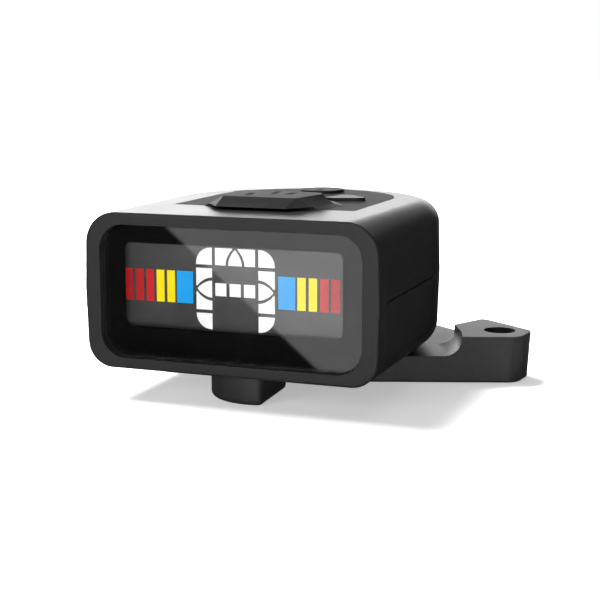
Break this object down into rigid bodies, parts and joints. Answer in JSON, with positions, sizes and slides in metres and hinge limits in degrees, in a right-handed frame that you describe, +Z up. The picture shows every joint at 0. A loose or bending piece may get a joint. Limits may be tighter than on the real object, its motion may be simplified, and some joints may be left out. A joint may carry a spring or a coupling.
{
  "type": "headstock tuner",
  "caption": "Small screw-on headstock tuner: display body with top keys and rear coin-cell drawer, swivelling on a flat plastic bracket with a raised screw-hole boss.",
  "frame": {"origin": "centre of the bracket's screw hole, on the bracket's flat underside", "axes": "+Z up along the screw hole and the swivel; the display faces -Y at rest; +X is to the right seen from the player"},
  "size_m": [0.0378, 0.033, 0.0186],
  "materials": {
    "case_plastic": "fine satin texture",
    "bracket_plastic": "fine satin texture",
    "panel_plastic": "satin",
    "key_plastic": "satin",
    "clear_lens": "gloss",
    "mask_black": "gloss",
    "display_glass": "gloss",
    "film_colour": "printed film",
    "light_guide": "translucent",
    "holder_plastic": "matt",
    "flex_film": "polyimide film",
    "board_green": "solder mask",
    "chip_black": "moulded epoxy",
    "metal_can": "nickel plated",
    "silicone": "soft",
    "brass": "turned",
    "ceramic": "silvered ceramic",
    "wire": "insulation",
    "steel": "bright",
    "washer_plastic": "low friction plastic"
  },
  "bodies": {
    "bracket": {"mounting_bracket": "bracket_plastic", "spring_washer": "steel"},
    "tuner": {"friction_washer": "washer_plastic", "pivot_screw": "steel", "pivot_insert": "brass", "upper_shell": "case_plastic", "lower_shell": "case_plastic", "case_screws": "steel", "control_panel": "panel_plastic", "keypad_membrane": "silicone", "window_lens": "clear_lens", "display_mask": "mask_black", "display_glass": "display_glass", "colour_film": "film_colour", "light_guide": "light_guide", "backlight_leds": "ceramic", "display_holder": "holder_plastic", "display_cable": "flex_film", "cable_socket": "holder_plastic", "circuit_board": "board_green", "tact_switches": "metal_can", "microcontroller": "chip_black", "crystal_can": "metal_can", "small_chip_parts": "ceramic", "piezo_disc": "brass", "piezo_ceramic": "ceramic", "piezo_wires": "wire", "positive_contact": "metal_can", "negative_contact": "metal_can"},
    "power_button": {"power_button": "key_plastic"},
    "flip_button": {"flip_button": "key_plastic"},
    "pitch_up_button": {"pitch_up_button": "key_plastic"},
    "pitch_down_button": {"pitch_down_button": "key_plastic"},
    "battery_drawer": {"battery_tray": "case_plastic", "coin_cell": "metal_can"}
  },
  "joints": [
    {"name": "swivel", "type": "hinge", "parent": "bracket", "child": "tuner", "pos_m": [-0.0204, -0.008, 0], "axis": [0, 0, 1], "range_deg": [-22, 48]},
    {"name": "power_press", "type": "slide", "parent": "tuner", "child": "power_button", "axis": [0, 0, -1], "range_m": [0, 0.00025], "stiffness_N_per_m": 900, "springref_m": -0.0002},
    {"name": "flip_press", "type": "slide", "parent": "tuner", "child": "flip_button", "axis": [0, 0, -1], "range_m": [0, 0.0004], "stiffness_N_per_m": 700, "springref_m": -0.0002},
    {"name": "pitch_up_press", "type": "slide", "parent": "tuner", "child": "pitch_up_button", "axis": [0, 0, -1], "range_m": [0, 0.0004], "stiffness_N_per_m": 700, "springref_m": -0.0002},
    {"name": "pitch_down_press", "type": "slide", "parent": "tuner", "child": "pitch_down_button", "axis": [0, 0, -1], "range_m": [0, 0.0004], "stiffness_N_per_m": 700, "springref_m": -0.0002},
    {"name": "battery_slide", "type": "slide", "parent": "tuner", "child": "battery_drawer", "axis": [0, 1, 0], "range_m": [0, 0.0215]}
  ]
}
